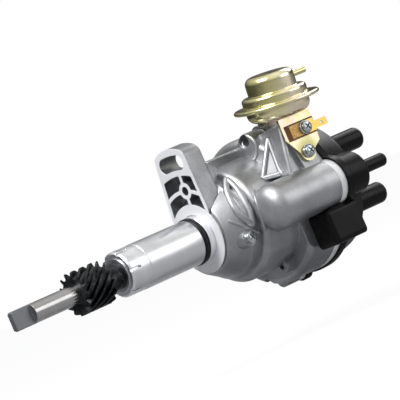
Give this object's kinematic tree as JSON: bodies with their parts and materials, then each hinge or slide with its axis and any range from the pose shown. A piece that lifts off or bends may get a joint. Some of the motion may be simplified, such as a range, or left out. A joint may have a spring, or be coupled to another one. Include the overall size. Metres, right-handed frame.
{
  "type": "ignition distributor",
  "caption": "Engine ignition distributor with helical drive gear, slotted clamp lug, vacuum advance can and multi-tower cap.",
  "frame": {"origin": "on the shaft axis at the clamp flange's engine-side face", "axes": "+X up the shaft to the cap, +Z towards the slotted lug and the vacuum can"},
  "size_m": [0.2855, 0.1151, 0.1296],
  "materials": {
    "casting": "die-cast, matte",
    "rubber": "matte",
    "bronze": "sintered",
    "zinc_screw": "bright zinc",
    "seal": "pale seal",
    "cap_plastic": "moulded black",
    "contact": "bare",
    "carbon": "carbon",
    "spring_steel": "drawn wire",
    "yellow_zinc": "yellow passivated zinc",
    "board": "brown laminate",
    "brass": "bare",
    "plate_steel": "pressed",
    "shaft_steel": "ground",
    "gear_steel": "dark oiled",
    "coil": "wound coil in resin"
  },
  "bodies": {
    "housing": {"housing": "casting", "clamp_lug": "casting", "o_ring": "rubber", "lower_bush": "bronze", "upper_bush": "bronze", "neck_screw": "zinc_screw", "cap_seal": "seal", "cap": "cap_plastic", "plug_contacts": "contact", "coil_contact": "contact", "carbon_brush": "carbon", "brush_spring": "spring_steel", "cap_screws": "zinc_screw", "can_base": "yellow_zinc", "can_cover": "yellow_zinc", "hose_nipple": "yellow_zinc", "diaphragm": "rubber", "diaphragm_spring": "spring_steel", "can_bracket": "yellow_zinc", "bracket_screw": "zinc_screw", "terminal_board": "board", "terminal_tab": "brass", "terminal_screw": "zinc_screw", "connector": "cap_plastic", "connector_pins": "brass", "base_plate": "plate_steel", "dust_cover": "cap_plastic"},
    "shaft": {"shaft": "shaft_steel", "drive_gear": "gear_steel", "gear_pin": "shaft_steel", "thrust_washer": "plate_steel", "governor_plate": "plate_steel", "governor_springs": "spring_steel"},
    "weight_1": {"governor_weight_1": "plate_steel"},
    "weight_2": {"governor_weight_2": "plate_steel"},
    "cam": {"cam_sleeve": "plate_steel", "reluctor": "gear_steel", "rotor_arm": "cap_plastic", "rotor_contact": "brass"},
    "pickup": {"pickup_plate": "plate_steel", "pickup_coil": "coil"},
    "vacuum_rod": {"pull_rod": "plate_steel"}
  },
  "joints": [
    {"name": "shaft_spin", "type": "hinge", "parent": "housing", "child": "shaft", "pos_m": [0, 0, 0], "axis": [1, 0, 0], "continuous": true},
    {"name": "weight_swing", "type": "hinge", "parent": "shaft", "child": "weight_1", "pos_m": [0.036, 0, 0.019], "axis": [1, 0, 0], "range_deg": [0, 12], "deforming": ["governor_springs"]},
    {"name": "weight_swing_2", "type": "hinge", "parent": "shaft", "child": "weight_2", "pos_m": [0.036, 0, -0.019], "axis": [1, 0, 0], "range_deg": [0, 12]},
    {"name": "cam_advance", "type": "hinge", "parent": "shaft", "child": "cam", "pos_m": [0.05, 0, 0], "axis": [1, 0, 0], "range_deg": [0, 12.8]},
    {"name": "vacuum_advance", "type": "hinge", "parent": "housing", "child": "pickup", "pos_m": [0.062, 0, 0], "axis": [1, 0, 0], "range_deg": [-8, 0], "stiffness_Nm_per_rad": 0.5},
    {"name": "rod_slide", "type": "slide", "parent": "housing", "child": "vacuum_rod", "axis": [0, -0.1513, 0.9885], "range_m": [0, 0.0044], "deforming": ["diaphragm", "diaphragm_spring"]}
  ],
  "couplings": [
    {"joint": "weight_swing_2", "follows": "weight_swing", "ratio": 1},
    {"joint": "cam_advance", "follows": "weight_swing", "ratio": 1.06},
    {"joint": "rod_slide", "follows": "vacuum_advance", "m_per_rad": -0.0313}
  ]
}
